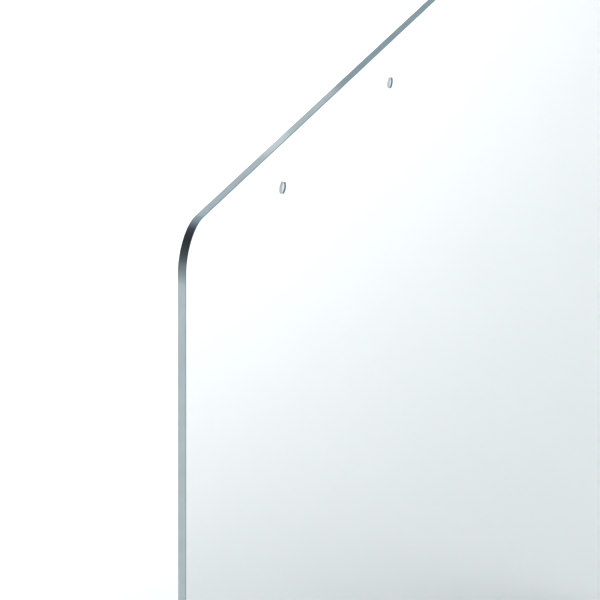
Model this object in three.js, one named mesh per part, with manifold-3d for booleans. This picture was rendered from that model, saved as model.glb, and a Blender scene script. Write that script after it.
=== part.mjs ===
// Countertop sneeze guard: one clear sheet with polished edges, held upright by two clamp feet.
// Millimetres, +Z up. X runs along the sheet and Y through it, with the clamp knobs on the -Y side.
// The origin is on the counter, under the middle of the sheet.

import * as THREE from 'three';
import { mergeVertices } from 'three/addons/utils/BufferGeometryUtils.js';
import Module from 'manifold-3d';

const wasm = await Module();
wasm.setup();

// Clearances
const slideGap = 0.3; // between surfaces that move past each other
const fitGap = 0.15; // round a screw or ring that is pressed or threaded into its hole
const boreOverrun = 1; // how far a cutting tool runs past the faces that it cuts

// Clear sheet
const sheetWidth = 1200;
const sheetHeight = 900;
const sheetThickness = 5;
const sheetCornerRadius = 25;
const holeDiameter = 7;
const holeDrop = 30; // hole centres below the top edge
const holeFromEnd = 150; // outer hole of each pair, from the end of the sheet
const holePitch = 200; // between the two holes of a pair

// Foot bar and its rubber pads
const footFromEnd = 200; // middle of each foot, from the end of the sheet
const barLength = 300;
const barWidth = 60;
const barThickness = 6;
const barCornerRadius = 15;
const footPadDiameter = 20;
const footPadTaper = 1.5; // how much smaller the pad's radius is where it meets the counter
const footPadHeight = 4;
const footPadInset = 3; // pad's rim from the bar's long side
const footPadEndInset = 8; // pad's rim from the bar's end

// Clamp body: a U-shaped channel with a thick wall for the screw and a plain wall behind the sheet
const clampLength = 80;
const clampWebThickness = 8;
const screwWallThickness = 12;
const backWallThickness = 8;
const clampWallHeight = 50; // above the web
const clampEdgeChamfer = 2;
const sillPadHeight = 3;
const sillPadInset = 5; // from each end of the clamp

// Jaw plate and the rubber faces that grip the sheet
const jawLength = 70;
const jawHeight = 36;
const jawCornerRadius = 4;
const jawPlateThickness = 5;
const jawPadThickness = 2;
const jawCentreHeight = 28; // above the web
const clipPocketDiameter = 11;
const clipPocketDepth = 2.4;

// Clamp screw, its retaining clip and its knob
const screwDiameter = 8;
const screwThreadTurns = 2; // turns that open the jaw fully
const screwPitch = 1.25;
const neckDiameter = 5;
const neckEndGap = 0.5; // from the end of the neck to the rubber face
const clipOuterDiameter = 9;
const clipThickness = 1;
const knobStandOff = 6; // knob's back from the screw wall, with the jaw closed
const knobDiameter = 36;
const knobLobes = 6;
const knobLobeDepth = 2.5;
const knobThickness = 18;
const knobEdge = 2;
const knobHubDiameter = 18;
const knobHubLength = 4;
const screwDepthInKnob = 15;

// Pivot between the foot bar and the clamp body
const pivotDiameter = 8;
const pivotHeadDiameter = 16;
const pivotHeadRecess = 0.5; // head's face above the bar's underside
const pivotHeadRim = 0.6;
const pivotThreadEndGap = 1; // from the screw's end to the top of the web
const pivotSocketAcrossFlats = 5;
const pivotSocketDepth = 2.5;
const washerDiameter = 30;
const washerThickness = 1;

// Heights of the stack, from the counter up
const barBottom = footPadHeight;
const barTop = barBottom + barThickness;
const washerBottom = barTop + slideGap;
const webBottom = washerBottom + washerThickness;
const webTop = webBottom + clampWebThickness;
const sheetBottom = webTop + sillPadHeight + slideGap;
const sheetTop = sheetBottom + sheetHeight;
const jawZ = webTop + jawCentreHeight;

// Places through the sheet's thickness, from its middle plane out
const jawTravel = screwPitch * screwThreadTurns;
const jawPadFace = sheetThickness / 2 + slideGap;
const jawPadBack = jawPadFace + jawPadThickness;
const jawPlateBack = jawPadBack + jawPlateThickness;
const screwWallInner = jawPlateBack + jawTravel + slideGap;
const screwWallOuter = screwWallInner + screwWallThickness;
const knobBack = screwWallOuter + knobStandOff;
const backWallOuter = jawPadBack + backWallThickness;

// Materials
const finish = (color, roughness, metalness, opacity = 1) =>
  new THREE.MeshStandardMaterial({ color, roughness, metalness, opacity, transparent: opacity < 1 });
const clearAcrylic = () => finish(0xdfe8ea, 0.04, 0, 0.35);
const brushedStainless = () => finish(0xb9bcbd, 0.35, 1);
const satinAluminium = () => finish(0xc4c6c8, 0.4, 1);
const zincSteel = () => finish(0xa7abad, 0.3, 1);
const blackRubber = () => finish(0x1c1c1d, 0.85, 0);
const blackNylon = () => finish(0x17181a, 0.5, 0);
const whiteNylon = () => finish(0xe6e4dc, 0.5, 0);

// A closed three.js geometry as a solid that can be cut, and back again
function toSolid(geometry) {
  const bare = geometry.index ? geometry.toNonIndexed() : geometry.clone();
  bare.deleteAttribute('normal');
  bare.deleteAttribute('uv');
  const merged = mergeVertices(bare, 1e-4);
  return new wasm.Manifold(new wasm.Mesh({
    numProp: 3,
    vertProperties: new Float32Array(merged.attributes.position.array),
    triVerts: new Uint32Array(merged.index.array),
  }));
}

function toGeometry(solid) {
  const mesh = solid.getMesh();
  const geometry = new THREE.BufferGeometry();
  geometry.setAttribute('position', new THREE.BufferAttribute(mesh.vertProperties, 3));
  geometry.setIndex(new THREE.BufferAttribute(mesh.triVerts, 1));
  return geometry;
}

function cut(geometry, ...tools) {
  return toGeometry(tools.reduce((rest, tool) => rest.subtract(toSolid(tool)), toSolid(geometry)));
}

// Basic shapes
function roundedRectangle(width, height, radius) {
  const x = width / 2 - radius;
  const y = height / 2 - radius;
  const shape = new THREE.Shape();
  shape.absarc(x, y, radius, 0, Math.PI / 2);
  shape.absarc(-x, y, radius, Math.PI / 2, Math.PI);
  shape.absarc(-x, -y, radius, Math.PI, Math.PI * 1.5);
  shape.absarc(x, -y, radius, Math.PI * 1.5, Math.PI * 2);
  shape.closePath();
  return shape;
}

// A slab of the shape's outline that stands in the XZ plane and reaches from y = 0 to y = depth
function standingSlab(shape, depth, curveSegments) {
  const slab = new THREE.ExtrudeGeometry(shape, { depth, bevelEnabled: false, curveSegments });
  return slab.rotateX(Math.PI / 2).translate(0, depth, 0);
}

// A turned piece on the Z axis: the profile is a list of [radius, z] from the axis back to the axis,
// or round a closed ring section
function turned(profile, segments = 32) {
  const points = profile.map(([radius, z]) => new THREE.Vector2(radius, z));
  return new THREE.LatheGeometry(points, segments).rotateX(Math.PI / 2);
}

const rod = (radius, low, high, segments = 32) =>
  turned([[0, low], [radius, low], [radius, high], [0, high]], segments);

const ring = (inner, outer, low, high) =>
  turned([[inner, low], [outer, low], [outer, high], [inner, high], [inner, low]]);

// Turns a piece made along +Z so that it points along -Y, out of the clamp's screw wall
const towardsKnob = (geometry) => geometry.rotateX(Math.PI / 2);

function named(name, geometry, material, x = 0, y = 0, z = 0) {
  const mesh = new THREE.Mesh(geometry, material);
  mesh.name = name;
  mesh.position.set(x, y, z);
  return mesh;
}

// Clear sheet: rounded corners and a pair of plain through-holes near each end of the top edge
function clearSheet() {
  const outline = roundedRectangle(sheetWidth, sheetHeight, sheetCornerRadius);
  for (const side of [-1, 1]) {
    for (const alongPair of [0, holePitch]) {
      const x = side * (sheetWidth / 2 - holeFromEnd - alongPair);
      const hole = new THREE.Path();
      hole.absarc(x, sheetHeight / 2 - holeDrop, holeDiameter / 2, 0, Math.PI * 2, true);
      outline.holes.push(hole);
    }
  }
  const slab = standingSlab(outline, sheetThickness, 12);
  return named('clear_sheet', slab, clearAcrylic(), 0, -sheetThickness / 2, sheetBottom + sheetHeight / 2);
}

// Foot bar: a flat steel bar across the sheet, countersunk from below for the pivot screw
function footBar(side) {
  const plate = new THREE.ExtrudeGeometry(roundedRectangle(barWidth, barLength, barCornerRadius), {
    depth: barThickness, bevelEnabled: false, curveSegments: 8,
  });
  const bore = pivotDiameter / 2 + slideGap;
  const sink = pivotHeadDiameter / 2 + slideGap;
  const rimTop = pivotHeadRecess + pivotHeadRim + slideGap;
  const countersink = turned([
    [0, -boreOverrun],
    [sink, -boreOverrun],
    [sink, rimTop],
    [bore, rimTop + sink - bore],
    [bore, barThickness + boreOverrun],
    [0, barThickness + boreOverrun],
  ]);
  return named(`${side}_foot_bar`, cut(plate, countersink), brushedStainless(), 0, 0, barBottom);
}

// Rubber pads stuck under the corners of the foot bar
function footPads(side) {
  const radius = footPadDiameter / 2;
  const x = barWidth / 2 - footPadInset - radius;
  const y = barLength / 2 - footPadEndInset - radius;
  const pads = [];
  for (const [endName, endY] of [['front', -y], ['back', y]]) {
    for (const [flankName, flankX] of [['outer', -x], ['inner', x]]) {
      const pad = turned([
        [0, 0],
        [radius - footPadTaper, 0],
        [radius, footPadTaper],
        [radius, footPadHeight],
        [0, footPadHeight],
      ], 24);
      const placeX = side === 'left' ? flankX : -flankX;
      pads.push(named(`${side}_foot_pad_${endName}_${flankName}`, pad, blackRubber(), placeX, endY, 0));
    }
  }
  return pads;
}

// Clamp body: U-shaped channel with chamfered outer edges, bored for the clamp screw and the pivot screw
function clampBody(side) {
  const c = clampEdgeChamfer;
  const height = clampWebThickness + clampWallHeight;
  const section = new THREE.Shape([
    [-screwWallOuter + c, 0],
    [backWallOuter - c, 0],
    [backWallOuter, c],
    [backWallOuter, height - c],
    [backWallOuter - c, height],
    [jawPadBack, height],
    [jawPadBack, clampWebThickness],
    [-screwWallInner, clampWebThickness],
    [-screwWallInner, height],
    [-screwWallOuter + c, height],
    [-screwWallOuter, height - c],
    [-screwWallOuter, c],
  ].map(([y, z]) => new THREE.Vector2(y, z)));
  const channel = new THREE.ExtrudeGeometry(section, { depth: clampLength, bevelEnabled: false });
  channel.applyMatrix4(new THREE.Matrix4().makeBasis(
    new THREE.Vector3(0, 1, 0), new THREE.Vector3(0, 0, 1), new THREE.Vector3(1, 0, 0)));
  channel.translate(-clampLength / 2, 0, 0);
  const screwBore = towardsKnob(
    rod(screwDiameter / 2 + fitGap, screwWallInner - boreOverrun, screwWallOuter + boreOverrun));
  screwBore.translate(0, 0, clampWebThickness + jawCentreHeight);
  const pivotBore = rod(pivotDiameter / 2 + fitGap, -boreOverrun, clampWebThickness + boreOverrun);
  const body = cut(channel, screwBore, pivotBore);
  return named(`${side}_clamp_body`, body, satinAluminium(), 0, 0, webBottom);
}

// Rubber strip in the bottom of the channel, which the sheet's lower edge stands on
function sillPad(side) {
  const depth = screwWallInner + jawPadBack;
  const strip = new THREE.BoxGeometry(clampLength - 2 * sillPadInset, depth - 2 * slideGap, sillPadHeight);
  const middleY = (jawPadBack - screwWallInner) / 2;
  return named(`${side}_sill_pad`, strip, blackRubber(), 0, middleY, webTop + sillPadHeight / 2);
}

const jawSlab = (thickness) =>
  standingSlab(roundedRectangle(jawLength, jawHeight, jawCornerRadius), thickness, 6);

// Rubber face stuck to the plain wall behind the sheet
const backPad = (side) =>
  named(`${side}_back_pad`, jawSlab(jawPadThickness), blackRubber(), 0, jawPadFace, jawZ);

// Rubber face stuck to the moving jaw plate
const jawPad = (side) =>
  named(`${side}_jaw_pad`, jawSlab(jawPadThickness), blackRubber(), 0, -jawPadBack, jawZ);

// Moving jaw plate: bored for the screw's neck, with a pocket for the clip under the rubber face
function jawPlate(side) {
  const neckBore = towardsKnob(
    rod(neckDiameter / 2 + slideGap, -jawPlateThickness - boreOverrun, boreOverrun));
  const pocket = towardsKnob(
    rod(clipPocketDiameter / 2, -jawPlateThickness - boreOverrun, clipPocketDepth - jawPlateThickness));
  const plate = cut(jawSlab(jawPlateThickness), neckBore, pocket);
  return named(`${side}_jaw_plate`, plate, zincSteel(), 0, -jawPlateBack, jawZ);
}

// Clamp screw: a threaded rod whose thinner neck turns in the jaw plate
function clampScrew(side) {
  const shoulder = jawPlateBack + slideGap;
  const screwEnd = knobBack + screwDepthInKnob;
  const profile = turned([
    [0, jawPadBack + neckEndGap],
    [neckDiameter / 2, jawPadBack + neckEndGap],
    [neckDiameter / 2, shoulder],
    [screwDiameter / 2, shoulder],
    [screwDiameter / 2, screwEnd],
    [0, screwEnd],
  ]);
  return named(`${side}_clamp_screw`, towardsKnob(profile), zincSteel(), 0, 0, jawZ);
}

// Retaining clip on the neck, in the jaw plate's pocket
function jawClip(side) {
  const back = jawPadBack + clipPocketDepth - slideGap;
  const clip = ring(neckDiameter / 2 + fitGap, clipOuterDiameter / 2, back - clipThickness, back);
  return named(`${side}_jaw_clip`, towardsKnob(clip), zincSteel(), 0, 0, jawZ);
}

// Lobed hand knob with a hub behind it, bored blind for the screw
function clampKnob(side) {
  const outline = new THREE.Shape();
  const steps = knobLobes * 8;
  const meanRadius = (knobDiameter - knobLobeDepth) / 2;
  for (let step = 0; step < steps; step += 1) {
    const angle = (step / steps) * Math.PI * 2;
    const radius = meanRadius - knobEdge + (knobLobeDepth / 2) * Math.cos(knobLobes * angle);
    const place = [radius * Math.cos(angle), radius * Math.sin(angle)];
    if (step === 0) outline.moveTo(...place);
    else outline.lineTo(...place);
  }
  outline.closePath();
  const grip = new THREE.ExtrudeGeometry(outline, {
    depth: knobThickness - 2 * knobEdge,
    bevelThickness: knobEdge,
    bevelSize: knobEdge,
    bevelSegments: 2,
  });
  grip.translate(0, 0, knobHubLength + knobEdge);
  const hub = rod(knobHubDiameter / 2, 0, knobHubLength + knobThickness / 2);
  const bore = rod(screwDiameter / 2 + fitGap, -boreOverrun, screwDepthInKnob + fitGap);
  const knob = toGeometry(toSolid(grip).add(toSolid(hub)).subtract(toSolid(bore)));
  return named(`${side}_clamp_knob`, towardsKnob(knob), blackNylon(), 0, -knobBack, jawZ);
}

// Pivot screw: countersunk from below through the foot bar and threaded into the clamp's web
function pivotScrew(side) {
  const head = pivotHeadDiameter / 2;
  const shank = pivotDiameter / 2;
  const headFace = barBottom + pivotHeadRecess;
  const screw = turned([
    [0, headFace],
    [head, headFace],
    [head, headFace + pivotHeadRim],
    [shank, headFace + pivotHeadRim + head - shank],
    [shank, webTop - pivotThreadEndGap],
    [0, webTop - pivotThreadEndGap],
  ]);
  const socket = new THREE.CylinderGeometry(
    pivotSocketAcrossFlats / Math.sqrt(3), pivotSocketAcrossFlats / Math.sqrt(3),
    pivotSocketDepth + boreOverrun, 6);
  socket.rotateX(Math.PI / 2).translate(0, 0, headFace + (pivotSocketDepth - boreOverrun) / 2);
  return named(`${side}_pivot_screw`, cut(screw, socket), zincSteel());
}

// Nylon washer that the clamp body turns on
const pivotWasher = (side) =>
  named(`${side}_pivot_washer`, ring(pivotDiameter / 2 + slideGap, washerDiameter / 2, 0, washerThickness),
    whiteNylon(), 0, 0, washerBottom);

// One clamp foot, the same for both ends of the sheet
function clampFoot(side) {
  const foot = new THREE.Group();
  foot.add(
    footBar(side), ...footPads(side), pivotScrew(side), pivotWasher(side), clampBody(side), sillPad(side),
    backPad(side), jawPlate(side), jawPad(side), jawClip(side), clampScrew(side), clampKnob(side));
  foot.position.x = (side === 'left' ? -1 : 1) * (sheetWidth / 2 - footFromEnd);
  return foot;
}

const group = new THREE.Group();
group.add(clearSheet(), clampFoot('left'), clampFoot('right'));

export default group;
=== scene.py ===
import math

import bmesh
import bpy
from mathutils import Euler, Matrix, Vector


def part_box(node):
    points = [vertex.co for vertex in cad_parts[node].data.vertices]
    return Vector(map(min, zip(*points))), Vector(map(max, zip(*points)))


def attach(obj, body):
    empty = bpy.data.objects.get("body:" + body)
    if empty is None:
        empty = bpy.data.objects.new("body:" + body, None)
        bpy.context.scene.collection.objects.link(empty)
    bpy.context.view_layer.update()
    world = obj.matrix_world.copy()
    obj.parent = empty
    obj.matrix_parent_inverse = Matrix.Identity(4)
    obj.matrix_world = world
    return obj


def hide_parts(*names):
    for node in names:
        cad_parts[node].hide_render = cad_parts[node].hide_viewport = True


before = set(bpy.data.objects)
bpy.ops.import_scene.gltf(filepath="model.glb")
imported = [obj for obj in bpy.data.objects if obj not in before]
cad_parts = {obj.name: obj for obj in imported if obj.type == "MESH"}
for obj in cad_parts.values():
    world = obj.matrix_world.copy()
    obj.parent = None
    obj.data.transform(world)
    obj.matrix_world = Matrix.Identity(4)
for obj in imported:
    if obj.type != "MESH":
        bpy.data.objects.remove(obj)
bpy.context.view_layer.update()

# Camera: near the left end of the sheet and a little above it, looking along the sheet and down.
# The focal length is for a square picture, and the small roll keeps the sheet's end upright.
sheet_low, sheet_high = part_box("clear_sheet")
near_top_corner = Vector((sheet_low.x, sheet_low.y, sheet_high.z))
camera_from_corner = Vector((-1.1459, -0.4831, 0.5349))
camera_heading = math.radians(70.012)  # from +Y towards +X
camera_pitch = math.radians(24.774)  # down from level
camera_roll = math.radians(1.208)
sensor_width = 36
focal_length_in_picture_widths = 4.175
nearest_seen = 0.05
furthest_seen = 100

camera_data = bpy.data.cameras.new("camera")
camera_data.sensor_width = sensor_width
camera_data.lens = sensor_width * focal_length_in_picture_widths
camera_data.clip_start = nearest_seen
camera_data.clip_end = furthest_seen
camera = bpy.data.objects.new("camera", camera_data)
bpy.context.scene.collection.objects.link(camera)
camera.location = near_top_corner + camera_from_corner
camera.rotation_mode = "QUATERNION"
camera.rotation_quaternion = (
    Euler((math.pi / 2 - camera_pitch, 0, -camera_heading)).to_quaternion()
    @ Euler((0, 0, camera_roll)).to_quaternion()
)
bpy.context.scene.camera = camera
bpy.context.scene.view_settings.view_transform = "Standard"


# Studio: a plain pale floor that runs into pale walls far away. A wide soft light over the far side of
# the sheet makes the floor behind it the brightest, so the sheet picks up a soft grey from in front.
floor_half_size = 30
floor_paleness = 0.86
glow_start = 3  # metres from the middle, where the floor begins to turn into wall
glow_full = 6
wall_light = Vector((0.92, 0.92, 0.92))  # near the horizon
wall_top = 0.04  # the Z of a direction, where the walls begin to turn into the room above
room_start = 0.30
room_light = Vector((0.326, 0.386, 0.403))  # a cool grey above and all round

floor_mesh = bpy.data.meshes.new("floor")
floor_shape = bmesh.new()
bmesh.ops.create_grid(floor_shape, x_segments=1, y_segments=1, size=floor_half_size)
floor_shape.to_mesh(floor_mesh)
floor_shape.free()
floor = bpy.data.objects.new("floor", floor_mesh)
bpy.context.scene.collection.objects.link(floor)
floor_material = bpy.data.materials.new("pale_floor")
floor_material.use_nodes = True
floor_shader = floor_material.node_tree.nodes["Principled BSDF"]
floor_shader.inputs["Base Color"].default_value = (floor_paleness, floor_paleness, floor_paleness, 1)
floor_shader.inputs["Roughness"].default_value = 1.0
floor_shader.inputs["Specular IOR Level"].default_value = 0.0
floor_nodes, floor_links = floor_material.node_tree.nodes, floor_material.node_tree.links
floor_place = floor_nodes.new("ShaderNodeTexCoord")
distance = floor_nodes.new("ShaderNodeVectorMath")
distance.operation = "LENGTH"
far_glow = floor_nodes.new("ShaderNodeMapRange")
far_glow.interpolation_type = "SMOOTHSTEP"
far_glow.inputs["From Min"].default_value = glow_start
far_glow.inputs["From Max"].default_value = glow_full
floor_links.new(floor_place.outputs["Object"], distance.inputs[0])
floor_links.new(distance.outputs["Value"], far_glow.inputs["Value"])
floor_links.new(far_glow.outputs["Result"], floor_shader.inputs["Emission Strength"])
glow_light = wall_light - floor_paleness * room_light  # what the lit floor lacks to look like wall
floor_shader.inputs["Emission Color"].default_value = (*glow_light, 1)
floor_mesh.materials.append(floor_material)

world = bpy.data.worlds.new("studio")
world.use_nodes = True
bpy.context.scene.world = world
world_nodes, world_links = world.node_tree.nodes, world.node_tree.links
direction = world_nodes.new("ShaderNodeTexCoord")
height = world_nodes.new("ShaderNodeSeparateXYZ")
above_walls = world_nodes.new("ShaderNodeMapRange")
above_walls.inputs["From Min"].default_value = wall_top
above_walls.inputs["From Max"].default_value = room_start
room_colours = world_nodes.new("ShaderNodeMix")
room_colours.data_type = "RGBA"
room_colours.inputs["A"].default_value = (*wall_light, 1)
room_colours.inputs["B"].default_value = (*room_light, 1)
world_links.new(direction.outputs["Generated"], height.inputs[0])
world_links.new(height.outputs["Z"], above_walls.inputs["Value"])
world_links.new(above_walls.outputs["Result"], room_colours.inputs["Factor"])
world_links.new(room_colours.outputs["Result"], world_nodes["Background"].inputs["Color"])


def soft_light(name, place, target, width, height, watts, along=(1, 0, 0)):
    """A rectangular soft light at place that faces target, with its width turned along a direction.
    It lights the scene and shows in gloss, but isn't seen itself."""
    data = bpy.data.lights.new(name, "AREA")
    data.shape = "RECTANGLE"
    data.size = width
    data.size_y = height
    data.energy = watts
    light = bpy.data.objects.new(name, data)
    bpy.context.scene.collection.objects.link(light)
    away = (Vector(place) - Vector(target)).normalized()
    upright = away.cross(Vector(along)).normalized()
    turned = Matrix((upright.cross(away), upright, away)).transposed()
    light.matrix_world = Matrix.Translation(place) @ turned.to_4x4()
    light.visible_camera = False
    light.visible_transmission = False


soft_light("far_side_light", place=(2.64, 3.16, 1.31), target=(2.64, 3.16, 0),
           width=5, height=5, watts=245)
soft_light("end_light", place=(-3.6, 0.3, 0.8), target=(-0.6, 0, 0.6),
           width=1.35, height=1.4, watts=40, along=(0, 1, 0))

# Two narrow lights give the top edge its long soft highlight near the left end, and a short glint.
# Both are beyond that part of the edge, above it on the far side, and their width slopes up and away.
edge_point = Vector((sheet_low.x + 0.11, 0, sheet_high.z))
sloping_up = (0, 0.68, 0.73)
soft_light("edge_highlight", place=edge_point + Vector((1.29, 0.505, 0.554)), target=edge_point,
           width=0.27, height=0.06, watts=0.054, along=sloping_up)
soft_light("edge_glint", place=edge_point + Vector((1.29, 0.475, 0.520)), target=edge_point,
           width=0.035, height=0.06, watts=0.0070, along=sloping_up)


# Foot bars: a flat bar of brushed stainless steel across the sheet in each foot, with round corners.
# It is laser cut, its edges are tumbled round, and it is countersunk from below for the pivot screw.
sides = ("left", "right")
foot_middle = {}  # the X that each foot is built round
for side in sides:
    low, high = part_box(f"{side}_foot_bar")
    foot_middle[side] = (low.x + high.x) / 2
bar_corner_radius = 0.015
bar_edge_rounding = 0.0009
bar_hole_radius = 0.0043
countersink_radius = 0.0083
countersink_rim_depth = 0.0014
hole_rounding = 0.0003


def rounded_outline(u_low, u_high, v_low, v_high, radius, steps=16):
    """Points (u, v) round a rounded rectangle."""
    corners = [
        (u_high - radius, v_high - radius, 0),
        (u_low + radius, v_high - radius, 90),
        (u_low + radius, v_low + radius, 180),
        (u_high - radius, v_low + radius, 270),
    ]
    points = []
    for u, v, start in corners:
        for step in range(steps + 1):
            angle = math.radians(start + 90 * step / steps)
            points.append((u + radius * math.cos(angle), v + radius * math.sin(angle)))
    return points


def circle_outline(u, v, radius, steps=48):
    """Points (u, v) round a circle."""
    angles = [2 * math.pi * step / steps for step in range(steps)]
    return [(u + radius * math.cos(a), v + radius * math.sin(a)) for a in angles]


def edge_rings(outline_at, low, high, rounding, steps=4):
    """Rings round one edge of a plate, from its face at w = low to its face at w = high, with that
    edge rounded at both faces. outline_at(inset) gives the outline moved into the material. A ring is
    its points (u, v, w) and its 'edge', which is 1 in the middle of a rounding."""
    near, far = [], []
    for step in range(steps + 1):
        angle = math.pi / 2 * step / steps
        outline = outline_at(rounding * (1 - math.sin(angle)))
        rise = rounding * (1 - math.cos(angle))
        edge = float(0 < step < steps)
        near.append(([(u, v, low + rise) for u, v in outline], edge))
        far.insert(0, ([(u, v, high - rise) for u, v in outline], edge))
    return near + far


def hole_rings(u, v, levels):
    """Rings down a round hole at (u, v): each level is its height w, radius and 'edge'."""
    return [
        ([(a, b, w) for a, b in circle_outline(u, v, radius)], edge)
        for w, radius, edge in levels
    ]


def add_loop(shape, points, edge):
    """Adds one ring of points to a shape, each marked with its 'edge'."""
    mark = shape.verts.layers.float.get("edge") or shape.verts.layers.float.new("edge")
    loop = [shape.verts.new(point) for point in points]
    for corner in loop:
        corner[mark] = edge
    return loop


def join_loops(shape, loops, material_index=0, closed=False):
    """Joins each ring to the next with faces. A ring of one point is a pole."""
    followers = loops[1:] + loops[:1] if closed else loops[1:]
    for near, far in zip(loops, followers):
        count = max(len(near), len(far))
        for i in range(count):
            j = (i + 1) % count
            corners = (
                near[i % len(near)], near[j % len(near)],
                far[j % len(far)], far[i % len(far)])
            face = shape.faces.new(dict.fromkeys(corners))
            face.material_index = material_index


def fill_between(shape, loops):
    """Fills the flat face that lies between rings, the outline first and then its holes."""
    rim = [shape.edges.get((loop[i - 1], loop[i])) for loop in loops for i in range(len(loop))]
    bmesh.ops.triangle_fill(shape, use_beauty=True, edges=rim)


def plate_shape(edges, place):
    """A plate made of its edges: each is (rings, material index), with its first ring on one face of
    the plate and its last on the other. place(u, v, w) gives the point in the object's frame."""
    shape = bmesh.new()
    first, last = [], []
    for rings, material_index in edges:
        loops = [
            add_loop(shape, [place(*point) for point in points], edge)
            for points, edge in rings
        ]
        join_loops(shape, loops, material_index)
        first.append(loops[0])
        last.append(loops[-1])
    fill_between(shape, first)
    fill_between(shape, last)
    return shape


def finished_mesh(name, shape, sharp_angle=40):
    """The shape as a mesh with its faces outwards, smooth across roundings and sharp at corners."""
    bmesh.ops.recalc_face_normals(shape, faces=shape.faces)
    for face in shape.faces:
        face.smooth = True
    mesh = bpy.data.meshes.new(name)
    shape.to_mesh(mesh)
    shape.free()
    mesh.set_sharp_from_angle(angle=math.radians(sharp_angle))
    return mesh


def add_piece(name, mesh, body, replaced, materials=()):
    """Puts a mesh in the scene as a piece that rides on a body and stands for CAD nodes."""
    for material in materials:
        mesh.materials.append(material)
    piece = bpy.data.objects.new(name, mesh)
    bpy.context.scene.collection.objects.link(piece)
    piece.modifiers.new("even_shading", "WEIGHTED_NORMAL").keep_sharp = True
    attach(piece, body)
    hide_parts(*replaced)
    return piece


def wire(tree, kind, inputs=(), **settings):
    """Adds a node to a tree and fills its inputs, each with a value or with a link from a socket."""
    node = tree.nodes.new(kind)
    for key, value in settings.items():
        setattr(node, key, value)
    for key, value in dict(inputs).items():
        if isinstance(value, bpy.types.NodeSocket):
            tree.links.new(value, node.inputs[key])
        else:
            node.inputs[key].default_value = value
    return node


def calc(tree, operation, *values):
    """The result of a Math node."""
    return wire(tree, "ShaderNodeMath", dict(enumerate(values)), operation=operation).outputs[0]


def remap(tree, value, from_low, from_high, to_low, to_high):
    """The value moved from one range to another, and kept inside it."""
    inputs = {0: value, 1: from_low, 2: from_high, 3: to_low, 4: to_high}
    return wire(tree, "ShaderNodeMapRange", inputs).outputs[0]


def shader_group(name, inputs, outputs):
    """A new shader node group with named inputs and outputs, and its two end nodes."""
    group = bpy.data.node_groups.new(name, "ShaderNodeTree")
    for label, kind in inputs:
        group.interface.new_socket(label, in_out="INPUT", socket_type=kind)
    for label in outputs:
        group.interface.new_socket(label, in_out="OUTPUT", socket_type="NodeSocketFloat")
    given = group.nodes.new("NodeGroupInput").outputs
    result = group.nodes.new("NodeGroupOutput").inputs
    return group, given, result


# Grain that a finish has all over: lines where Stretch is uneven, or specks where it is even.
grain_group, given, result = shader_group(
    "surface_grain",
    [("Place", "NodeSocketVector"), ("Stretch", "NodeSocketVector"), ("Size", "NodeSocketFloat")],
    ["Tone", "Height"])
stretched = wire(grain_group, "ShaderNodeMapping", {
    "Vector": given["Place"], "Scale": given["Stretch"]})
specks = wire(grain_group, "ShaderNodeTexNoise", {
    "Vector": stretched.outputs[0], "Scale": given["Size"], "Detail": 5, "Roughness": 0.62})
grain_group.links.new(remap(grain_group, specks.outputs[0], 0.3, 0.7, 0, 1), result["Tone"])
grain_group.links.new(specks.outputs[0], result["Height"])

# Patches where a surface has been handled and cleaned, some centimetres across.
handling_group, given, result = shader_group(
    "handling_marks", [("Place", "NodeSocketVector")], ["Tone"])
patches = wire(handling_group, "ShaderNodeTexNoise", {
    "Vector": given["Place"], "Scale": 22, "Detail": 3, "Distortion": 0.6})
marked = remap(handling_group, patches.outputs[0], 0.35, 0.65, 0, 1)
handling_group.links.new(marked, result["Tone"])

# Wear along rounded edges, broken into patches. The mesh's own 'edge' says where the roundings are.
wear_group, given, result = shader_group(
    "edge_wear", [("Place", "NodeSocketVector"), ("Amount", "NodeSocketFloat")], ["Mask"])
on_edge = wire(wear_group, "ShaderNodeAttribute", attribute_name="edge").outputs["Fac"]
broken = wire(wear_group, "ShaderNodeTexNoise", {
    "Vector": given["Place"], "Scale": 160, "Detail": 4})
patchy = remap(wear_group, broken.outputs[0], 0.38, 0.62, 0, 1)
worn = calc(wear_group, "MULTIPLY", on_edge, patchy)
wear_group.links.new(calc(wear_group, "MULTIPLY", worn, given["Amount"]), result["Mask"])


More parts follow.
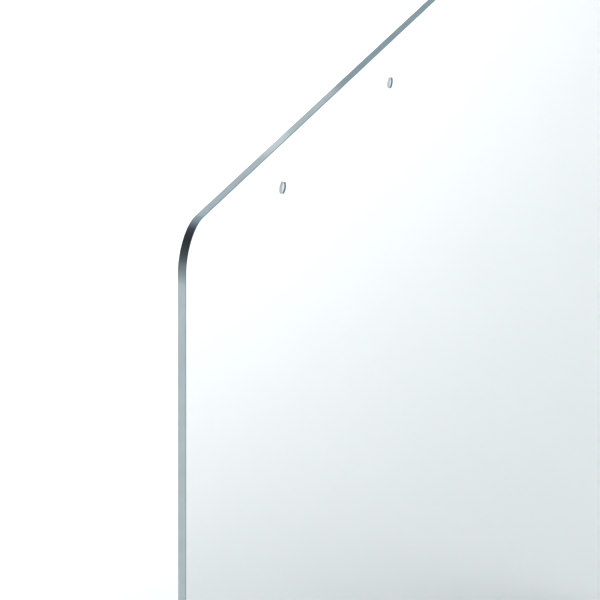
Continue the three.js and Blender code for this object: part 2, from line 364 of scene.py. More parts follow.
def finish_material(name, dark, light, worn_colour, metallic, roughness, stretch, size, bump, wear):
    """A surface with grain between two tones, uneven gloss and worn edges. Roughness is its lowest
    and highest value, bump is the grain's depth in metres, and wear is how strong edge wear is."""
    handling_share = 0.7  # of the unevenness in the gloss, where grain makes up the rest
    material = bpy.data.materials.new(name)
    material.use_nodes = True
    tree = material.node_tree
    shader = tree.nodes["Principled BSDF"]
    place = wire(tree, "ShaderNodeTexCoord").outputs["Object"]
    grain = wire(tree, "ShaderNodeGroup", node_tree=grain_group)
    handling = wire(tree, "ShaderNodeGroup", node_tree=handling_group)
    edges = wire(tree, "ShaderNodeGroup", node_tree=wear_group)
    for effect in (grain, handling, edges):
        tree.links.new(place, effect.inputs["Place"])
    grain.inputs["Stretch"].default_value = stretch
    grain.inputs["Size"].default_value = size
    edges.inputs["Amount"].default_value = wear
    toned = wire(tree, "ShaderNodeMix", {
        "Factor": grain.outputs["Tone"], "A": (*dark, 1), "B": (*light, 1)}, data_type="RGBA")
    coloured = wire(tree, "ShaderNodeMix", {
        "Factor": edges.outputs["Mask"], "A": toned.outputs["Result"], "B": (*worn_colour, 1)},
        data_type="RGBA")
    tree.links.new(coloured.outputs["Result"], shader.inputs["Base Color"])
    gloss = calc(
        tree, "ADD",
        calc(tree, "MULTIPLY", handling.outputs["Tone"], handling_share),
        calc(tree, "MULTIPLY", grain.outputs["Tone"], 1 - handling_share))
    tree.links.new(remap(tree, gloss, 0, 1, *roughness), shader.inputs["Roughness"])
    relief = wire(tree, "ShaderNodeBump", {
        "Height": grain.outputs["Height"], "Distance": bump, "Strength": 1})
    tree.links.new(relief.outputs["Normal"], shader.inputs["Normal"])
    shader.inputs["Metallic"].default_value = metallic
    return material


brushed_stainless = finish_material(
    "stainless_brushed_lengthwise", dark=(0.50, 0.50, 0.49), light=(0.66, 0.66, 0.65),
    worn_colour=(0.74, 0.74, 0.73), metallic=1, roughness=(0.24, 0.38),
    stretch=(1, 0.012, 1), size=2600, bump=0.00004, wear=0.6)

for side in sides:
    bar_low, bar_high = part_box(f"{side}_foot_bar")
    bar_rim = edge_rings(
        lambda inset: rounded_outline(
            bar_low.x + inset, bar_high.x - inset, bar_low.y + inset, bar_high.y - inset,
            bar_corner_radius - inset),
        bar_low.z, bar_high.z, bar_edge_rounding)
    cone_top = bar_low.z + countersink_rim_depth + countersink_radius - bar_hole_radius
    bar_hole = hole_rings(foot_middle[side], 0, [
        (bar_low.z, countersink_radius + hole_rounding, 0),
        (bar_low.z + hole_rounding, countersink_radius, 1),
        (bar_low.z + countersink_rim_depth, countersink_radius, 0),
        (cone_top, bar_hole_radius, 0),
        (bar_high.z - hole_rounding, bar_hole_radius, 1),
        (bar_high.z, bar_hole_radius + hole_rounding, 0),
    ])
    shape = plate_shape([(bar_rim, 0), (bar_hole, 0)], lambda u, v, w: (u, v, w))
    add_piece(f"{side}_brushed_bar", finished_mesh("brushed_bar", shape), f"{side}_bar",
              [f"{side}_foot_bar"], [brushed_stainless])


# Foot pads: four tapered discs of soft black rubber under each bar, stuck in place near its corners.
# Each is moulded with a shallow cup and a grip groove in its underside.
pad_rounding = 0.0006
pad_taper = 0.0015  # the foot of a pad is this much smaller, over this height
pad_top_rounding = 0.0003
cup_depth = 0.0012
cup_radius = 0.0034
cup_rim_radius = 0.0042
groove_depth = 0.0005
groove_from_rim = 0.0020


def rounded_profile(corners, steps=4):
    """A profile with rounded corners: each corner is (radius, height, rounding). The first and last
    stay as they are. Gives (radius, height, edge) for each point."""
    points = [(*corners[0][:2], 0.0)]
    for before, corner, after in zip(corners, corners[1:], corners[2:]):
        here = Vector(corner[:2])
        back = (Vector(before[:2]) - here).normalized()
        on = (Vector(after[:2]) - here).normalized()
        rounding = corner[2]
        if rounding == 0:
            points.append((*here, 0.0))
            continue
        half = back.angle(on) / 2
        centre = here + (back + on).normalized() * rounding / math.sin(half)
        start = here + back * rounding / math.tan(half) - centre
        end = here + on * rounding / math.tan(half) - centre
        for step in range(steps + 1):
            spoke = start.lerp(end, step / steps).normalized() * rounding
            points.append((*(centre + spoke), float(0 < step < steps)))
    return points + [(*corners[-1][:2], 0.0)]


def turned_shape(profile, steps=48, closed=False):
    """A piece turned on the Z axis. The profile lists (radius, height, edge), from the axis back to
    the axis, or round a ring's section when closed. A fourth value makes that ring a hexagon, and the
    radius is then half its width across flats."""
    shape = bmesh.new()
    loops = []
    for radius, height, edge, *hexagon in profile:
        if radius == 0:
            loops.append(add_loop(shape, [(0, 0, height)], edge))
            continue
        points = []
        for step in range(steps):
            angle = 2 * math.pi * step / steps
            reach = radius / math.cos(angle % (math.pi / 3) - math.pi / 6) if hexagon else radius
            points.append((reach * math.cos(angle), reach * math.sin(angle), height))
        loops.append(add_loop(shape, points, edge))
    join_loops(shape, loops, closed=closed)
    return shape


def shape_tree(name, numbers):
    """A Geometry Nodes tree that takes a Shape, the named numbers and a Material. Gives the tree, its
    input sockets and a function that finishes it from the last shape in it."""
    tree = bpy.data.node_groups.new(name, "GeometryNodeTree")
    tree.interface.new_socket("Shape", in_out="INPUT", socket_type="NodeSocketGeometry")
    for label in numbers:
        tree.interface.new_socket(label, in_out="INPUT", socket_type="NodeSocketFloat")
    tree.interface.new_socket("Material", in_out="INPUT", socket_type="NodeSocketMaterial")
    tree.interface.new_socket("Shape", in_out="OUTPUT", socket_type="NodeSocketGeometry")
    given = tree.nodes.new("NodeGroupInput").outputs

    def end_with(socket):
        real = wire(tree, "GeometryNodeRealizeInstances", {0: socket})
        painted = wire(tree, "GeometryNodeSetMaterial", {
            "Geometry": real.outputs[0], "Material": given["Material"]})
        wire(tree, "NodeGroupOutput", {0: painted.outputs[0]})

    return tree, given, end_with


def shaped_by(tree, mesh, name, **values):
    """The plain mesh that a tree makes of a mesh. Each value is for the input of that name, with
    underscores for spaces."""
    blank = bpy.data.objects.new("blank", mesh)
    bpy.context.scene.collection.objects.link(blank)
    modifier = blank.modifiers.new("shape", "NODES")
    modifier.node_group = tree
    for item in tree.interface.items_tree:
        if item.in_out == "INPUT" and item.name.replace(" ", "_") in values:
            modifier[item.identifier] = values[item.name.replace(" ", "_")]
    evaluated = blank.evaluated_get(bpy.context.evaluated_depsgraph_get())
    result = bpy.data.meshes.new_from_object(evaluated)
    result.name = name
    blank.modifiers.clear()
    bpy.data.objects.remove(blank)
    return result


# Sets out four copies of a shape, at the corners of a rectangle.
corners_tree, given, end_with = shape_tree("set_out_at_corners", ["Spacing X", "Spacing Y"])
spots = wire(corners_tree, "GeometryNodeMeshGrid", {
    "Size X": given["Spacing X"], "Size Y": given["Spacing Y"], "Vertices X": 2, "Vertices Y": 2})
copies = wire(corners_tree, "GeometryNodeInstanceOnPoints", {
    "Points": spots.outputs["Mesh"], "Instance": given["Shape"]})
end_with(copies.outputs[0])

black_rubber = finish_material(
    "soft_black_rubber", dark=(0.014, 0.014, 0.015), light=(0.030, 0.030, 0.031),
    worn_colour=(0.060, 0.060, 0.061), metallic=0, roughness=(0.62, 0.86),
    stretch=(1, 1, 1), size=1900, bump=0.00003, wear=0.7)

for side in sides:
    pads = [
        f"{side}_foot_pad_{end}_{flank}"
        for end in ("front", "back")
        for flank in ("outer", "inner")
    ]
    lows, highs = zip(*[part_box(pad) for pad in pads])
    pad_radius = (highs[0].x - lows[0].x) / 2
    pad_height = highs[0].z - lows[0].z
    foot_radius = pad_radius - pad_taper
    groove_radius = foot_radius - groove_from_rim
    profile = rounded_profile([
        (0, cup_depth, 0),
        (cup_radius, 0.0010, 0.0004),
        (cup_rim_radius, 0, 0.0003),
        (groove_radius - 0.0004, 0, 0.0002),
        (groove_radius, groove_depth, 0.0001),
        (groove_radius + 0.0004, 0, 0.0002),
        (foot_radius, 0, pad_rounding),
        (pad_radius, pad_taper, pad_rounding),
        (pad_radius, pad_height, pad_top_rounding),
        (0, pad_height, 0),
    ])
    one_pad = finished_mesh("one_pad", turned_shape(profile))
    pads_mesh = shaped_by(
        corners_tree, one_pad, "foot_pads", Material=black_rubber,
        Spacing_X=max(high.x for high in highs) - min(low.x for low in lows) - 2 * pad_radius,
        Spacing_Y=max(high.y for high in highs) - min(low.y for low in lows) - 2 * pad_radius)
    pads_mesh.transform(Matrix.Translation((foot_middle[side], 0, lows[0].z)))
    add_piece(f"{side}_foot_pads", pads_mesh, f"{side}_bar", pads)


# Pivot washers: a thin washer of white nylon between each bar and its clamp, cut from sheet, that the
# clamp turns on. It is held only by the pivot screw through it.
washer_bore_radius = 0.0043
washer_rounding = 0.0002

white_nylon = finish_material(
    "natural_white_nylon", dark=(0.72, 0.70, 0.64), light=(0.80, 0.78, 0.73),
    worn_colour=(0.62, 0.59, 0.53), metallic=0, roughness=(0.34, 0.52),
    stretch=(1, 1, 1), size=900, bump=0.00001, wear=0.4)

for side in sides:
    low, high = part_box(f"{side}_pivot_washer")
    rim_radius = (high.x - low.x) / 2
    halfway = (washer_bore_radius + rim_radius) / 2
    section = rounded_profile([
        (halfway, low.z, 0),
        (rim_radius, low.z, washer_rounding),
        (rim_radius, high.z, washer_rounding),
        (washer_bore_radius, high.z, washer_rounding),
        (washer_bore_radius, low.z, washer_rounding),
        (halfway, low.z, 0),
    ])
    mesh = finished_mesh("nylon_washer", turned_shape(section[:-1], 64, closed=True))
    mesh.transform(Matrix.Translation((foot_middle[side], 0, 0)))
    add_piece(f"{side}_nylon_washer", mesh, f"{side}_clamp",
              [f"{side}_pivot_washer"], [white_nylon])


# Pivot screws: a countersunk M8 socket screw of bright zinc-plated steel, put in from below through
# the bar and the washer and locked in the clamp's web. Its head stays just inside the bar.
screw_radius = 0.004
screw_end_chamfer = 0.0006
head_rim_height = 0.0006
head_rounding = 0.0003
socket_across_flats = 0.005
socket_depth = 0.0025
socket_cone = 0.0008
socket_flare = 1.25
thread_pitch = 0.00125
thread_depth = 0.0006
crest_end, root_start = 0.05, 0.42  # the thread's flank, in turns from the middle of its crest
rings_to_a_turn = 8
on_surface = 0.00001  # how near a radius or height a point is taken to lie on it


def from_axis(tree):
    """The X, Y and Z of each point, its distance from the Z axis, and the direction away from it."""
    place = wire(tree, "GeometryNodeInputPosition").outputs[0]
    x, y, z = wire(tree, "ShaderNodeSeparateXYZ", {0: place}).outputs
    spoke = wire(tree, "ShaderNodeCombineXYZ", {0: x, 1: y}).outputs[0]
    reach = wire(tree, "ShaderNodeVectorMath", {0: spoke}, operation="LENGTH").outputs["Value"]
    outward = wire(tree, "ShaderNodeVectorMath", {0: spoke}, operation="NORMALIZE").outputs[0]
    return x, y, z, reach, outward


def threaded_levels(low, high, radius):
    """Profile points of a rod's threaded length, close enough together to carry the thread."""
    count = round((high - low) / thread_pitch * rings_to_a_turn)
    return [(radius, low + (high - low) * step / count, 0.0) for step in range(count + 1)]


# Cuts a screw thread into the part of a turned rod that has a given radius.
thread_tree, given, end_with = shape_tree(
    "cut_thread", ["Radius", "Pitch", "Depth", "Start", "End"])
x, y, z, reach, outward = from_axis(thread_tree)
turns = calc(thread_tree, "DIVIDE", calc(thread_tree, "ARCTAN2", y, x), 2 * math.pi)
phase = calc(thread_tree, "SUBTRACT", calc(thread_tree, "DIVIDE", z, given["Pitch"]), turns)
flank = calc(thread_tree, "PINGPONG", phase, 0.5)
groove = remap(thread_tree, flank, crest_end, root_start, 0, 1)
full_from = calc(thread_tree, "ADD", given["Start"], given["Pitch"])
full_to = calc(thread_tree, "SUBTRACT", given["End"], given["Pitch"])
start_fade = remap(thread_tree, z, given["Start"], full_from, 0, 1)
end_fade = remap(thread_tree, z, full_to, given["End"], 1, 0)
on_rod = calc(thread_tree, "COMPARE", reach, given["Radius"], on_surface)
cut = given["Depth"]
for factor in (groove, start_fade, end_fade, on_rod):
    cut = calc(thread_tree, "MULTIPLY", cut, factor)
moved = wire(thread_tree, "ShaderNodeVectorMath", {
    0: outward, "Scale": calc(thread_tree, "MULTIPLY", cut, -1)}, operation="SCALE")
threaded = wire(thread_tree, "GeometryNodeSetPosition", {
    "Geometry": given["Shape"], "Offset": moved.outputs[0]})
end_with(threaded.outputs[0])

zinc_steel = finish_material(
    "zinc_plated_steel", dark=(0.52, 0.55, 0.58), light=(0.66, 0.66, 0.62),
    worn_colour=(0.72, 0.73, 0.74), metallic=1, roughness=(0.20, 0.34),
    stretch=(1, 1, 1), size=420, bump=0.00001, wear=0.6)

for side in sides:
    low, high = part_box(f"{side}_pivot_screw")
    head_radius = (high.x - low.x) / 2
    half_socket = socket_across_flats / 2
    cone_top = low.z + head_rim_height + head_radius - screw_radius
    thread_start = cone_top + screw_end_chamfer
    thread_end = high.z - screw_end_chamfer
    profile = [
        (0, low.z + socket_depth + socket_cone, 0),
        (half_socket, low.z + socket_depth, 0, True),
        (half_socket, low.z + head_rounding, 0, True),
        (half_socket * socket_flare, low.z, 1),
        (head_radius - head_rounding, low.z, 0),
        (head_radius, low.z + head_rounding, 1),
        (head_radius, low.z + head_rim_height, 0),
        (screw_radius, cone_top, 0),
        *threaded_levels(thread_start, thread_end, screw_radius),
        (screw_radius - screw_end_chamfer, high.z, 0),
        (0, high.z, 0),
    ]
    blank = finished_mesh("pivot_screw_blank", turned_shape(profile, 48))
    mesh = shaped_by(
        thread_tree, blank, "pivot_screw", Material=zinc_steel, Radius=screw_radius,
        Pitch=thread_pitch, Depth=thread_depth, Start=thread_start, End=thread_end)
    mesh.transform(Matrix.Translation((foot_middle[side], 0, 0)))
    add_piece(f"{side}_socket_screw", mesh, f"{side}_clamp",
              [f"{side}_pivot_screw"])


# Clamp bodies: a U-shaped channel of satin anodised aluminium, cut from an extruded bar. The thick
# wall is tapped for the clamp screw and the web for the pivot screw, and all edges are rounded.
screw_wall = 0.012
plain_wall = 0.008
web = 0.008
outer_edge_radius = 0.002
mouth_edge_radius = 0.0008
inner_corner_radius = 0.0006
end_rounding = 0.0006
tapped_radius = 0.00415
tapped_rounding = 0.0005


def rounded_loop(corners, steps=5):
    """Points (u, v) round a closed outline with rounded corners, each given as (u, v, rounding)."""
    profile = rounded_profile([corners[-1], *corners, corners[0]], steps)
    return [(u, v) for u, v, _ in profile[1:-1]]


def drill(shape, centre, along, low, high, radius, rounding):
    """Drills a hole through the wall that lies from low to high along an axis, 0 to 2 for X to Z."""
    across = [axis for axis in range(3) if axis != along]
    halfway = rounding * 0.3  # in and down, to the middle of the rounding
    ring_sizes = [(radius + rounding, 0, 0), (radius + halfway, halfway, 1), (radius, rounding, 0)]
    rims = []
    for level, into in ((low, 1), (high, -1)):
        wall = next(
            face for face in shape.faces
            if all(abs(corner.co[along] - level) < on_surface for corner in face.verts))
        outline = list(wall.verts)
        bmesh.ops.delete(shape, geom=[wall], context="FACES_ONLY")
        rings = []
        for ring_radius, depth, edge in ring_sizes:
            points = []
            for a, b in circle_outline(0, 0, ring_radius):
                point = [centre.x, centre.y, centre.z]
                point[along] = level + into * depth
                point[across[0]] += a
                point[across[1]] += b
                points.append(point)
            rings.append(add_loop(shape, points, edge))
        join_loops(shape, rings)
        fill_between(shape, [outline, rings[0]])
        rims.append(rings[-1])
    join_loops(shape, rims)


satin_aluminium = finish_material(
    "satin_anodised_aluminium", dark=(0.62, 0.63, 0.64), light=(0.72, 0.73, 0.74),
    worn_colour=(0.80, 0.81, 0.82), metallic=1, roughness=(0.34, 0.46),
    stretch=(0.05, 1, 1), size=2200, bump=0.00002, wear=0.5)

for side in sides:
    low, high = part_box(f"{side}_clamp_body")
    screw_low, screw_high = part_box(f"{side}_clamp_screw")

    def channel_at(inset):
        outer = outer_edge_radius - inset
        mouth = mouth_edge_radius - inset
        inner = inner_corner_radius + inset
        front, back = low.y + inset, high.y - inset
        bottom, top = low.z + inset, high.z - inset
        floor_level = low.z + web - inset
        return rounded_loop([
            (back, bottom, outer),
            (back, top, outer),
            (high.y - plain_wall + inset, top, mouth),
            (high.y - plain_wall + inset, floor_level, inner),
            (low.y + screw_wall - inset, floor_level, inner),
            (low.y + screw_wall - inset, top, mouth),
            (front, top, outer),
            (front, bottom, outer),
        ])

    ends = edge_rings(channel_at, low.x, high.x, end_rounding)
    shape = plate_shape([(ends, 0)], lambda u, v, w: (w, u, v))
    screw_axis = Vector((foot_middle[side], 0, (screw_low.z + screw_high.z) / 2))
    pivot_axis = Vector((foot_middle[side], 0, 0))
    drill(shape, screw_axis, 1, low.y, low.y + screw_wall, tapped_radius, tapped_rounding)
    drill(shape, pivot_axis, 2, low.z, low.z + web, tapped_radius, tapped_rounding)
    add_piece(f"{side}_clamp_channel", finished_mesh("clamp_channel", shape), f"{side}_clamp",
              [f"{side}_clamp_body"], [satin_aluminium])


# Rubber faces: black rubber with fine ribs wherever the clamp touches the sheet. A strip lies in the
# channel under the sheet, one pad is stuck to the plain wall and one to the moving jaw plate.
rib_depth = 0.0005
rows_to_a_rib = 8
rubber_edge_rounding = 0.0003
rubber_back_rounding = 0.0001
sill_corner_radius = 0.0015
sill_ribs = 6
face_corner_radius = 0.004
face_ribs = 12

# Presses ribs into the top face of a pad that lies flat, with the ribs along X.
rib_tree, given, end_with = shape_tree("press_ribs", ["Face Height", "Pitch", "Depth"])
place = wire(rib_tree, "GeometryNodeInputPosition").outputs[0]
_, y, z = wire(rib_tree, "ShaderNodeSeparateXYZ", {0: place}).outputs
half_turns = calc(rib_tree, "MULTIPLY", calc(rib_tree, "DIVIDE", y, given["Pitch"]), math.pi)
wave = calc(rib_tree, "ABSOLUTE", calc(rib_tree, "SINE", half_turns))
dip = calc(rib_tree, "MULTIPLY", calc(rib_tree, "SUBTRACT", wave, 1), given["Depth"])
on_face = calc(rib_tree, "COMPARE", z, given["Face Height"], on_surface)
lowered = wire(rib_tree, "ShaderNodeCombineXYZ", {2: calc(rib_tree, "MULTIPLY", dip, on_face)})
ribbed = wire(rib_tree, "GeometryNodeSetPosition", {
    "Geometry": given["Shape"], "Offset": lowered.outputs[0]})
end_with(ribbed.outputs[0])


def rubber_face(name, length, width, thickness, corner_radius, ribs):
    """A ribbed pad that lies flat, centred on the origin with its underside at Z = 0."""
    half = width / 2
    shape = bmesh.new()
    loops = []
    rows = ribs * rows_to_a_rib
    levels = [-half + width * row / rows for row in range(rows + 1)]
    finer = [half - corner_radius * (1 - math.cos(math.radians(a))) for a in (15, 30, 45, 60, 75)]
    levels = sorted(set(levels) | set(finer) | {-level for level in finer})
    for y in levels:
        past = max(0.0, abs(y) - (half - corner_radius))
        pulled_in = corner_radius - math.sqrt(max(0.0, corner_radius ** 2 - past ** 2))
        reach = length / 2 - pulled_in
        section = rounded_loop([
            (reach, 0, rubber_back_rounding),
            (reach, thickness, rubber_edge_rounding),
            (-reach, thickness, rubber_edge_rounding),
            (-reach, 0, rubber_back_rounding),
        ], 3)
        loops.append(add_loop(shape, [(u, y, w) for u, w in section], 0))
    join_loops(shape, loops)
    shape.faces.new(loops[0])
    shape.faces.new(loops[-1])
    blank = finished_mesh(name + "_blank", shape)
    return shaped_by(
        rib_tree, blank, name, Material=black_rubber, Face_Height=thickness,
        Pitch=width / ribs, Depth=rib_depth)


for side in sides:
    low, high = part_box(f"{side}_sill_pad")
    middle = (low + high) / 2
    mesh = rubber_face("sill_strip", high.x - low.x, high.y - low.y, high.z - low.z,
                       sill_corner_radius, sill_ribs)
    mesh.transform(Matrix.Translation((middle.x, middle.y, low.z)))
    add_piece(f"{side}_sill_strip", mesh, f"{side}_clamp", [f"{side}_sill_pad"])
    for node, body, facing in (("back_pad", "clamp", -1), ("jaw_pad", "jaw", 1)):
        low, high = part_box(f"{side}_{node}")
        middle = (low + high) / 2
        mesh = rubber_face(node, high.x - low.x, high.z - low.z, high.y - low.y,
                           face_corner_radius, face_ribs)
        stand_up = Matrix.Rotation(-facing * math.pi / 2, 4, "X")
        foot_of_pad = Vector((middle.x, low.y if facing > 0 else high.y, middle.z))
        mesh.transform(Matrix.Translation(foot_of_pad) @ stand_up)
        add_piece(f"{side}_ribbed_{node}", mesh, f"{side}_{body}", [f"{side}_{node}"])


# Jaw plates: a zinc-plated steel plate that the clamp screw pushes against the sheet. It is stamped
# with rounded corners, bored for the screw's neck, and pocketed in front for the neck's clip.
jaw_corner_radius = 0.004
jaw_rounding = 0.0005
neck_hole_radius = 0.0028
clip_pocket_radius = 0.0055
clip_pocket_depth = 0.0024

for side in sides:
    low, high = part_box(f"{side}_jaw_plate")
    middle = (low + high) / 2
    jaw_rim = edge_rings(
        lambda inset: rounded_outline(
            low.x + inset, high.x - inset, low.z + inset, high.z - inset,
            jaw_corner_radius - inset, 8),
        low.y, high.y, jaw_rounding)
    jaw_hole = hole_rings(middle.x, middle.z, [
        (low.y, neck_hole_radius + hole_rounding, 0),
        (low.y + hole_rounding, neck_hole_radius, 1),
        (high.y - clip_pocket_depth, neck_hole_radius, 0),
        (high.y - clip_pocket_depth, clip_pocket_radius, 0),
        (high.y - hole_rounding, clip_pocket_radius, 0),
        (high.y, clip_pocket_radius + hole_rounding, 0),
    ])
    shape = plate_shape([(jaw_rim, 0), (jaw_hole, 0)], lambda u, v, w: (u, w, v))
    add_piece(f"{side}_pressed_jaw", finished_mesh("pressed_jaw", shape), f"{side}_jaw",
              [f"{side}_jaw_plate"], [zinc_steel])


# Clamp screws: a threaded M8 rod of zinc-plated steel, moulded into the knob. Its thinner neck turns
# in the jaw plate, and a spring clip pushed on across the neck keeps it there.
neck_radius = 0.0025
neck_length = 0.0048
neck_chamfer = 0.0004
rod_radius = 0.004
rod_chamfer = 0.0005
clip_opening = 50  # degrees from straight down to each end of the clip
clip_clearance = 0.00015
clip_rounding = 0.00015
clip_steps = 40


def toward_knob(x, y, z):
    """Turns a point made along +Z so that it points along -Y, out of the clamp's thick wall."""
    return Matrix.Translation((x, y, z)) @ Matrix.Rotation(math.pi / 2, 4, "X")


for side in sides:
    low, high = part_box(f"{side}_clamp_screw")
    middle_z = (low.z + high.z) / 2
    length = high.y - low.y
    thread_start = neck_length + rod_chamfer
    thread_end = length - rod_chamfer
    profile = [
        (0, 0, 0),
        (neck_radius - neck_chamfer, 0, 0),
        (neck_radius, neck_chamfer, 1),
        (neck_radius, neck_length, 0),
        (rod_radius - rod_chamfer, neck_length, 0),
        *threaded_levels(thread_start, thread_end, rod_radius),
        (rod_radius - rod_chamfer, length, 0),
        (0, length, 0),
    ]
    blank = finished_mesh("clamp_screw_blank", turned_shape(profile, 32))
    mesh = shaped_by(
        thread_tree, blank, "threaded_rod", Material=zinc_steel, Radius=rod_radius,
        Pitch=thread_pitch, Depth=thread_depth, Start=thread_start, End=thread_end)
    mesh.transform(toward_knob(foot_middle[side], high.y, middle_z))
    add_piece(f"{side}_threaded_rod", mesh, f"{side}_knob",
              [f"{side}_clamp_screw"])

    low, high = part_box(f"{side}_jaw_clip")
    outer = (high.x - low.x) / 2
    inner = neck_radius + clip_clearance

    def clip_at(inset):
        gap = math.radians(clip_opening) + inset / outer
        arc = [
            -math.pi / 2 + gap + (2 * math.pi - 2 * gap) * step / clip_steps
            for step in range(clip_steps + 1)
        ]
        ring = [(outer - inset, a) for a in arc] + [(inner + inset, a) for a in reversed(arc)]
        return [
            (foot_middle[side] + reach * math.cos(a), middle_z + reach * math.sin(a))
            for reach, a in ring
        ]

    shape = plate_shape([(edge_rings(clip_at, low.y, high.y, clip_rounding, 2), 0)],
                        lambda u, v, w: (u, w, v))
    add_piece(f"{side}_spring_clip", finished_mesh("spring_clip", shape), f"{side}_knob",
              [f"{side}_jaw_clip"], [zinc_steel])


# Clamp knobs: a six-lobed hand knob moulded in black glass-filled nylon over the end of the screw,
# with a fine grain. It has a plain hub behind, and a ring groove round the cap in its front face.
lobe_count = 6.0
lobe_depth = 0.0025
lobes_start_radius = 0.0105
rim_back_rounding = 0.0026
rim_front_rounding = 0.0032
cap_groove_depth = 0.0012
cap_recess = 0.0003
crown = 0.0001  # how far the middle of the cap is below the face
knob_bore_radius = 0.00415
knob_bore_depth = 0.01515
knob_hub_radius = 0.009
knob_hub_length = 0.004

# Draws the rim of a turned knob in between its lobes, more the further a point is from the axis.
lobe_tree, given, end_with = shape_tree(
    "press_lobes", ["Lobes", "Depth", "Start Radius", "Rim Radius"])
x, y, _, reach, outward = from_axis(lobe_tree)
angle = calc(lobe_tree, "ARCTAN2", y, x)
wave = calc(lobe_tree, "COSINE", calc(lobe_tree, "MULTIPLY", angle, given["Lobes"]))
valley = calc(lobe_tree, "MULTIPLY", calc(lobe_tree, "SUBTRACT", wave, 1), 0.5)
share = wire(lobe_tree, "ShaderNodeMapRange", {
    0: reach, 1: given["Start Radius"], 2: given["Rim Radius"], 3: 0, 4: 1},
    interpolation_type="SMOOTHSTEP")
deepest = calc(lobe_tree, "MULTIPLY", valley, given["Depth"])
shift = calc(lobe_tree, "MULTIPLY", deepest, share.outputs[0])
moved = wire(lobe_tree, "ShaderNodeVectorMath", {0: outward, "Scale": shift}, operation="SCALE")
lobed = wire(lobe_tree, "GeometryNodeSetPosition", {
    "Geometry": given["Shape"], "Offset": moved.outputs[0]})
end_with(lobed.outputs[0])

black_nylon = finish_material(
    "glass_filled_black_nylon", dark=(0.018, 0.018, 0.020), light=(0.034, 0.034, 0.036),
    worn_colour=(0.080, 0.080, 0.084), metallic=0, roughness=(0.38, 0.54),
    stretch=(1, 1, 1), size=2400, bump=0.00005, wear=0.8)

for side in sides:
    low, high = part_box(f"{side}_clamp_knob")
    rim = (high.x - low.x) / 2
    front = high.y - low.y
    groove_floor = front - cap_groove_depth
    profile = rounded_profile([
        (0, knob_bore_depth, 0),
        (knob_bore_radius, knob_bore_depth, 0),
        (knob_bore_radius, 0, 0.0004),
        (knob_hub_radius, 0, 0.0008),
        (knob_hub_radius, knob_hub_length, 0.0008),
        (rim * 0.72, knob_hub_length, 0.0005),
        (rim, knob_hub_length + 0.0004, rim_back_rounding),
        (rim, front, rim_front_rounding),
        (rim * 0.70, front, 0.0006),
        (rim * 0.66, groove_floor, 0.0004),
        (rim * 0.56, groove_floor, 0.0004),
        (rim * 0.53, front - cap_recess, 0.0006),
        (0.001, front - crown, 0),
        (0, front - crown, 0),
    ], 6)
    blank = finished_mesh("knob_blank", turned_shape(profile, 144))
    mesh = shaped_by(
        lobe_tree, blank, "lobed_knob", Material=black_nylon, Lobes=lobe_count, Depth=lobe_depth,
        Start_Radius=lobes_start_radius, Rim_Radius=rim)
    mesh.transform(toward_knob(foot_middle[side], high.y, (low.z + high.z) / 2))
    add_piece(f"{side}_lobed_knob", mesh, f"{side}_knob", [f"{side}_clamp_knob"])


# Clear sheet: one piece of clear cast acrylic, cut to a rounded rectangle and drilled with two plain
# holes near each end of the top edge. Its edges are flame polished, with a fine broken corner.
# It stands in the two clamp feet, and carries nothing itself.
sheet_corner_radius = 0.025
sheet_hole_radius = 0.0035
sheet_hole_drop = 0.030
sheet_hole_from_end = 0.150
sheet_hole_pitch = 0.200
sheet_arris = 0.0004
acrylic_ior = 1.49
edge_roughness = 0.06
wall_roughness = 0.25
painted_wall_glow = 0.40


def acrylic_material(name, roughness):
    """A material with the gloss of acrylic. Gives it, its node tree and its shader's inputs."""
    material = bpy.data.materials.new(name)
    material.use_nodes = True
    inputs = material.node_tree.nodes["Principled BSDF"].inputs
    inputs["Roughness"].default_value = roughness
    inputs["IOR"].default_value = acrylic_ior
    return material, material.node_tree, inputs


def colour_ramp(tree, factor, stops):
    """The colours that a ramp gives to a factor, from its stops (position, (red, green, blue))."""
    node = wire(tree, "ShaderNodeValToRGB", {0: factor})
    elements = node.color_ramp.elements
    while len(elements) < len(stops):
        elements.new(1.0)
    for element, (position, colour) in zip(elements, stops):
        element.position = position
        element.color = (*colour, 1)
    return node.outputs["Color"]


# Faces: clear, with a faint tint of cool grey.
clear_face, _, inputs = acrylic_material("clear_acrylic_face", 0.0)
inputs["Base Color"].default_value = (0.886, 0.898, 0.902, 1)
inputs["Transmission Weight"].default_value = 1.0

# Polished edge: a painted bluish grey, lighter on the level edges than on the upright ones, that
# stands in for the light that runs along inside the sheet. The round corners, and the end just beside
# them, get painted shade where that light is thrown away. The mesh's own 'turn' says how far round a
# corner a point is.
corner_fade_length = 0.0065  # how far along the end it is still dark beside a corner
nearing_share = 0.06  # the part of the ramp for that length
streak_strength = 0.07
broken_corner_shade = 0.7

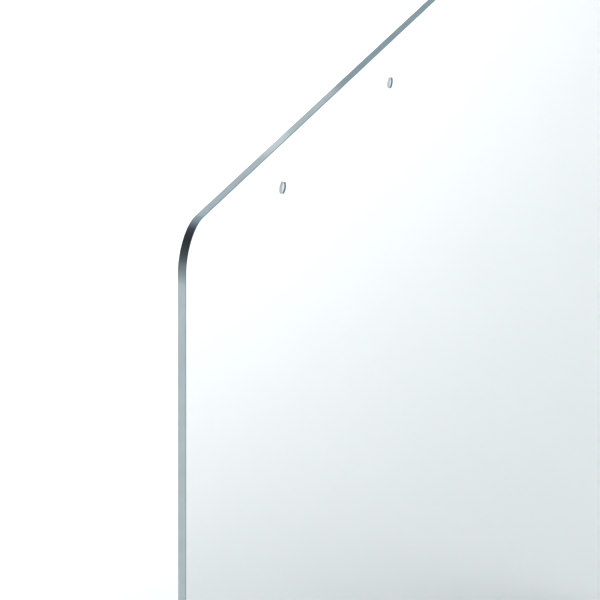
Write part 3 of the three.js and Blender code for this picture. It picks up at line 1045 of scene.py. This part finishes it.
corner_start = (sheet_high.z - sheet_low.z) / 2 - sheet_corner_radius
polished_edge, tree, inputs = acrylic_material("polished_acrylic_edge", edge_roughness)
place = wire(tree, "ShaderNodeTexCoord").outputs["Object"]
height = wire(tree, "ShaderNodeSeparateXYZ", {0: place}).outputs["Z"]
above_middle = calc(tree, "SUBTRACT", height, (sheet_low.z + sheet_high.z) / 2)
from_middle = calc(tree, "ABSOLUTE", above_middle)
fade_start = corner_start - corner_fade_length
nearing = remap(tree, from_middle, fade_start, corner_start, 0, nearing_share)
turn = wire(tree, "ShaderNodeAttribute", attribute_name="turn").outputs["Fac"]
turning = calc(tree, "ADD", nearing, calc(tree, "MULTIPLY", turn, 1 - nearing_share))
# Painted light and painted shade along the edge, from upright edges round the corners to level ones.
painted_edge_light_and_shade = colour_ramp(tree, turning, [
    (0.000, (0.416, 0.474, 0.496)),
    (0.060, (0.212, 0.262, 0.290)),
    (0.151, (0.147, 0.181, 0.203)),
    (0.258, (0.073, 0.092, 0.104)),
    (0.362, (0.045, 0.053, 0.060)),
    (0.522, (0.022, 0.026, 0.032)),
    (0.624, (0.032, 0.037, 0.050)),
    (0.704, (0.066, 0.076, 0.092)),
    (0.774, (0.205, 0.240, 0.270)),
    (0.878, (0.445, 0.550, 0.615)),
    (0.947, (0.540, 0.655, 0.730)),
])
streaks = wire(tree, "ShaderNodeTexNoise", {"Vector": place, "Scale": 60, "Detail": 3})
uneven = remap(tree, streaks.outputs[0], 0.3, 0.7, 1 - streak_strength, 1 + streak_strength)
# Painted shade: the broken corner between edge and face is made a little darker.
broken_corner = wire(tree, "ShaderNodeAttribute", attribute_name="edge").outputs["Fac"]
darker = remap(tree, broken_corner, 0, 1, 1, broken_corner_shade)
tone = calc(tree, "MULTIPLY", uneven, darker)
shaded = wire(tree, "ShaderNodeVectorMath", {0: painted_edge_light_and_shade, "Scale": tone}, operation="SCALE")
tree.links.new(shaded.outputs[0], inputs["Base Color"])

# Wall of a drilled hole: pale and slightly frosted, with painted shade near the faces that it breaks
# through.
drilled_wall, tree, inputs = acrylic_material("drilled_acrylic_wall", wall_roughness)
place = wire(tree, "ShaderNodeTexCoord").outputs["Object"]
from_middle = calc(tree, "ABSOLUTE", wire(tree, "ShaderNodeSeparateXYZ", {0: place}).outputs["Y"])
depth = calc(tree, "DIVIDE", from_middle, (sheet_high.y - sheet_low.y) / 2)
frosted_wall_painted_glow_and_shade = colour_ramp(tree, depth, [
    (0.00, (0.80, 0.88, 0.92)),
    (0.54, (0.74, 0.84, 0.88)),
    (0.66, (0.075, 0.095, 0.095)),
    (0.98, (0.060, 0.080, 0.080)),
])
tree.links.new(frosted_wall_painted_glow_and_shade, inputs["Base Color"])
# Painted glow: the wall's colours also glow, standing in for light that reaches it through the sheet.
tree.links.new(frosted_wall_painted_glow_and_shade, inputs["Emission Color"])  # light that reaches it through the sheet
inputs["Emission Strength"].default_value = painted_wall_glow


def mark_corner_turn(mesh):
    """Gives each point 'turn': 0 on upright edges, 1 on level ones, and between them on corners."""
    middle = (sheet_low + sheet_high) / 2
    reach_x = (sheet_high.x - sheet_low.x) / 2 - sheet_corner_radius
    reach_z = (sheet_high.z - sheet_low.z) / 2 - sheet_corner_radius
    turn = mesh.attributes.new("turn", "FLOAT", "POINT")
    for vertex, value in zip(mesh.vertices, turn.data):
        past_x = max(0.0, abs(vertex.co.x - middle.x) - reach_x)
        past_z = max(0.0, abs(vertex.co.z - middle.z) - reach_z)
        value.value = math.atan2(past_z, past_x) / (math.pi / 2)


sheet_rim = edge_rings(
    lambda inset: rounded_outline(
        sheet_low.x + inset, sheet_high.x - inset, sheet_low.z + inset, sheet_high.z - inset,
        sheet_corner_radius - inset, 48),
    sheet_low.y, sheet_high.y, sheet_arris)
sheet_edges = [(sheet_rim, 1)]
for end in (-1, 1):
    for along_pair in (0, sheet_hole_pitch):
        hole_x = end * (sheet_high.x - sheet_hole_from_end - along_pair)
        hole_z = sheet_high.z - sheet_hole_drop
        hole = edge_rings(
            lambda inset: circle_outline(hole_x, hole_z, sheet_hole_radius + inset, 64),
            sheet_low.y, sheet_high.y, sheet_arris / 2)
        sheet_edges.append((hole, 2))
shape = plate_shape(sheet_edges, lambda u, v, w: (u, w, v))
mesh = finished_mesh("clear_sheet_polished", shape)
mark_corner_turn(mesh)
add_piece("clear_sheet_polished", mesh, "sheet", ["clear_sheet"],
          [clear_face, polished_edge, drilled_wall])
